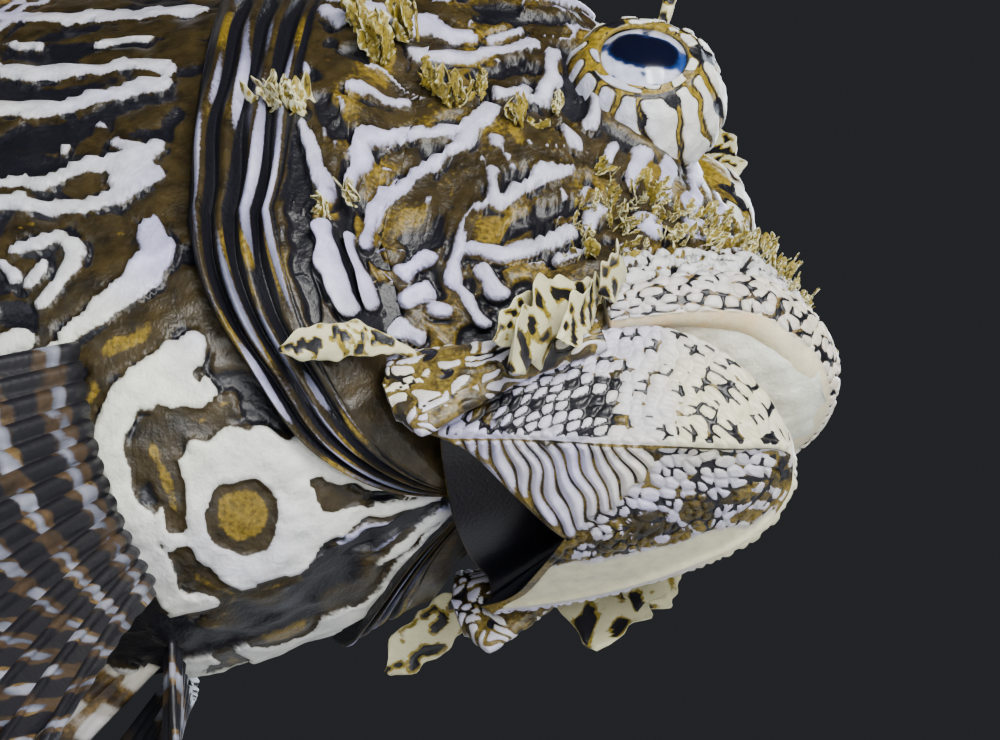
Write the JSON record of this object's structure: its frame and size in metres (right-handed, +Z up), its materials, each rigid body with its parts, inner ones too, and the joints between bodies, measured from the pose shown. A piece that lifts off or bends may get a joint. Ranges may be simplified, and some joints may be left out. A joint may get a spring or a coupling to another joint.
{
  "type": "lionfish display model",
  "caption": "Life-size still model of a lionfish with fanned fins, nose down and banked, held on two rods over a flat base.",
  "frame": {"origin": "centre of the stand base's underside", "axes": "+X the way the fish heads, seen from above; +Z up from the base; the fish's right side faces -Y"},
  "size_m": [0.2931, 0.1904, 0.2885],
  "materials": {
    "skin": "satin painted resin, brown with white bars",
    "fins": "satin painted resin, thin",
    "eye": "polished",
    "stand_wood": "dark satin hardwood",
    "stand_steel": "satin"
  },
  "bodies": {
    "root": {"head": "skin", "lower_jaw": "skin", "torso": "skin", "tail_stem": "skin", "eye_left": "eye", "gill_cover_left": "skin", "brow_tentacle_left": "skin", "pectoral_fin_left": "fins", "pelvic_fin_left": "fins", "eye_right": "eye", "gill_cover_right": "skin", "brow_tentacle_right": "skin", "pectoral_fin_right": "fins", "pelvic_fin_right": "fins", "spiny_dorsal_fin": "fins", "soft_dorsal_fin": "fins", "anal_fin": "fins", "tail_fin": "fins", "stand_base": "stand_wood", "stand_rod_front": "stand_steel", "stand_rod_rear": "stand_steel"}
  },
  "joints": []
}
